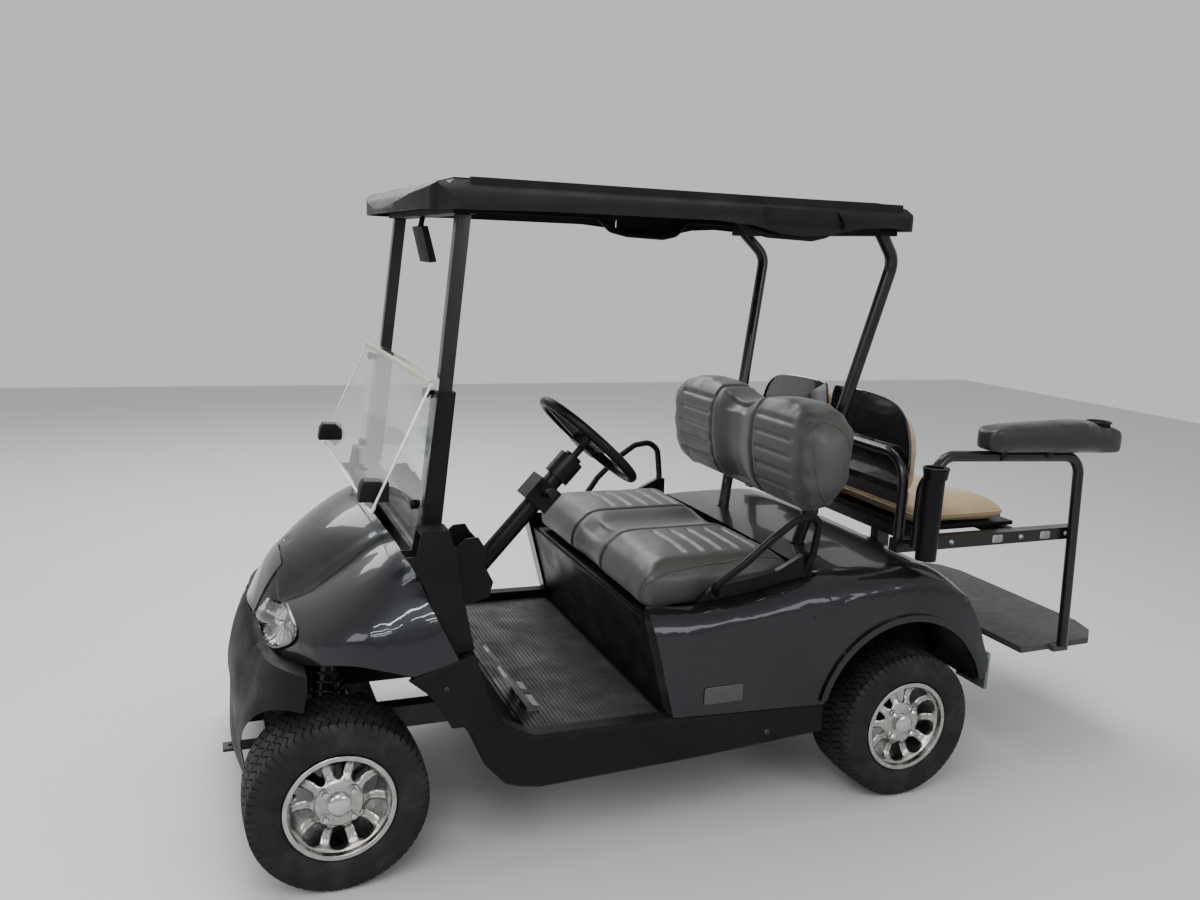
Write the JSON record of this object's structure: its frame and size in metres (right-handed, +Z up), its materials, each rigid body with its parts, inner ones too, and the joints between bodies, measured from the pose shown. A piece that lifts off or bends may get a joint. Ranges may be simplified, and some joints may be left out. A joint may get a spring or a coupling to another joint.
{
  "type": "golf cart",
  "caption": "Open golf cart with a fixed canopy, front bench seat, rear-facing flip seat with footplate, fold-down windshield and alloy wheels.",
  "frame": {"origin": "middle of the footprint box on the floor, under the cart", "axes": "+X forward, +Y to the driver's side, +Z up"},
  "size_m": [2.905, 1.2152, 1.7779],
  "materials": {
    "paint": "dark grey metallic gloss",
    "black_plastic": "textured moulded plastic",
    "gloss_black": "smooth moulded plastic",
    "black_steel": "black powder coat",
    "seat_vinyl": "grey sewn vinyl",
    "rear_vinyl": "beige sewn vinyl",
    "clear_acrylic": "clear sheet",
    "lamp_lens": "clear lens",
    "lamp_red": "red lens",
    "tyre_rubber": "treaded rubber",
    "alloy": "machined and lacquered",
    "bare_steel": "worn steel",
    "mat_rubber": "ribbed rubber",
    "grip_plate": "grey brown grip top in a black frame",
    "battery_case": "plain block",
    "mirror_glass": "black-backed mirror",
    "seat_vinyl_black": "black padded vinyl"
  },
  "bodies": {
    "root": {"chassis_frame": "black_steel", "cross_members": "black_steel", "frame_brackets": "black_steel", "floor_pan": "black_plastic", "floor_mat": "mat_rubber", "sills": "black_plastic", "front_cowl": "paint", "front_bumper": "black_plastic", "nose_trim": "gloss_black", "headlamps": "lamp_lens", "dashboard": "black_plastic", "steering_column": "black_plastic", "pedals": "bare_steel", "front_posts": "black_steel", "post_covers": "black_plastic", "windshield_lower": "clear_acrylic", "windshield_upper": "clear_acrylic", "windshield_clips": "black_plastic", "rear_posts": "black_steel", "canopy": "black_plastic", "canopy_handles": "black_plastic", "mirror": "mirror_glass", "rear_body": "paint", "wheel_liners": "black_plastic", "seat_base": "gloss_black", "battery_pack": "battery_case", "seat_back": "seat_vinyl", "back_brackets": "black_steel", "hip_restraints": "black_plastic", "rear_seat_frame": "black_steel", "grab_rails": "black_steel", "sand_canister": "black_plastic", "rear_backrests": "rear_vinyl", "backrest_shells": "black_plastic", "footplate": "grip_plate", "armrest": "seat_vinyl_black", "tail_lamps": "lamp_red", "mudflaps": "mat_rubber", "rear_axle": "black_steel", "drive_motor": "black_steel", "rear_springs": "black_steel", "lower_arms": "black_steel", "front_struts": "black_steel", "steering_rack": "black_steel"},
    "seat_lid": {"seat_board": "black_plastic", "seat_cushion": "seat_vinyl"},
    "flip_seat": {"rear_seat_board": "black_plastic", "rear_cushion": "rear_vinyl"},
    "steering_wheel": {"steering_wheel": "black_plastic"},
    "rack_bar": {"tie_rods": "bare_steel"},
    "knuckle_left": {"knuckle_left": "bare_steel"},
    "knuckle_right": {"knuckle_right": "bare_steel"},
    "wheel_front_left": {"tyre_front_left": "tyre_rubber", "rim_front_left": "alloy"},
    "wheel_front_right": {"tyre_front_right": "tyre_rubber", "rim_front_right": "alloy"},
    "wheel_rear_left": {"tyre_rear_left": "tyre_rubber", "rim_rear_left": "alloy"},
    "wheel_rear_right": {"tyre_rear_right": "tyre_rubber", "rim_rear_right": "alloy"}
  },
  "joints": [
    {"name": "knuckle_left_steer", "type": "hinge", "parent": "root", "child": "knuckle_left", "pos_m": [1.1915, 0.44, 0.2295], "axis": [0, 0, 1], "range_deg": [-24, 24]},
    {"name": "knuckle_right_steer", "type": "hinge", "parent": "root", "child": "knuckle_right", "pos_m": [1.1915, -0.44, 0.2295], "axis": [0, 0, 1], "range_deg": [-24, 24]},
    {"name": "steering_wheel_turn", "type": "hinge", "parent": "root", "child": "steering_wheel", "pos_m": [0.4625, 0.28, 1.088], "axis": [-0.6691, 0, 0.7431], "range_deg": [-336, 336]},
    {"name": "rack_slide", "type": "slide", "parent": "root", "child": "rack_bar", "axis": [0, 1, 0], "range_m": [-0.042, 0.042]},
    {"name": "seat_lid_lift", "type": "hinge", "parent": "root", "child": "seat_lid", "pos_m": [-0.1545, 0, 0.7], "axis": [0, -1, 0], "range_deg": [0, 60]},
    {"name": "flip_seat_fold", "type": "hinge", "parent": "root", "child": "flip_seat", "pos_m": [-1.0245, 0, 0.7883], "axis": [0, -1, 0], "range_deg": [0, 180]},
    {"name": "wheel_front_left_spin", "type": "hinge", "parent": "knuckle_left", "child": "wheel_front_left", "pos_m": [1.1915, 0.468, 0.2295], "axis": [0, 1, 0], "continuous": true},
    {"name": "wheel_front_right_spin", "type": "hinge", "parent": "knuckle_right", "child": "wheel_front_right", "pos_m": [1.1915, -0.468, 0.2295], "axis": [0, 1, 0], "continuous": true},
    {"name": "wheel_rear_left_spin", "type": "hinge", "parent": "root", "child": "wheel_rear_left", "pos_m": [-0.4925, 0.505, 0.2295], "axis": [0, 1, 0], "continuous": true},
    {"name": "wheel_rear_right_spin", "type": "hinge", "parent": "root", "child": "wheel_rear_right", "pos_m": [-0.4925, -0.505, 0.2295], "axis": [0, 1, 0], "continuous": true}
  ],
  "couplings": [
    {"joint": "knuckle_right_steer", "follows": "knuckle_left_steer", "ratio": 1},
    {"joint": "steering_wheel_turn", "follows": "knuckle_left_steer", "ratio": 14},
    {"joint": "rack_slide", "follows": "knuckle_left_steer", "m_per_rad": -0.1}
  ]
}
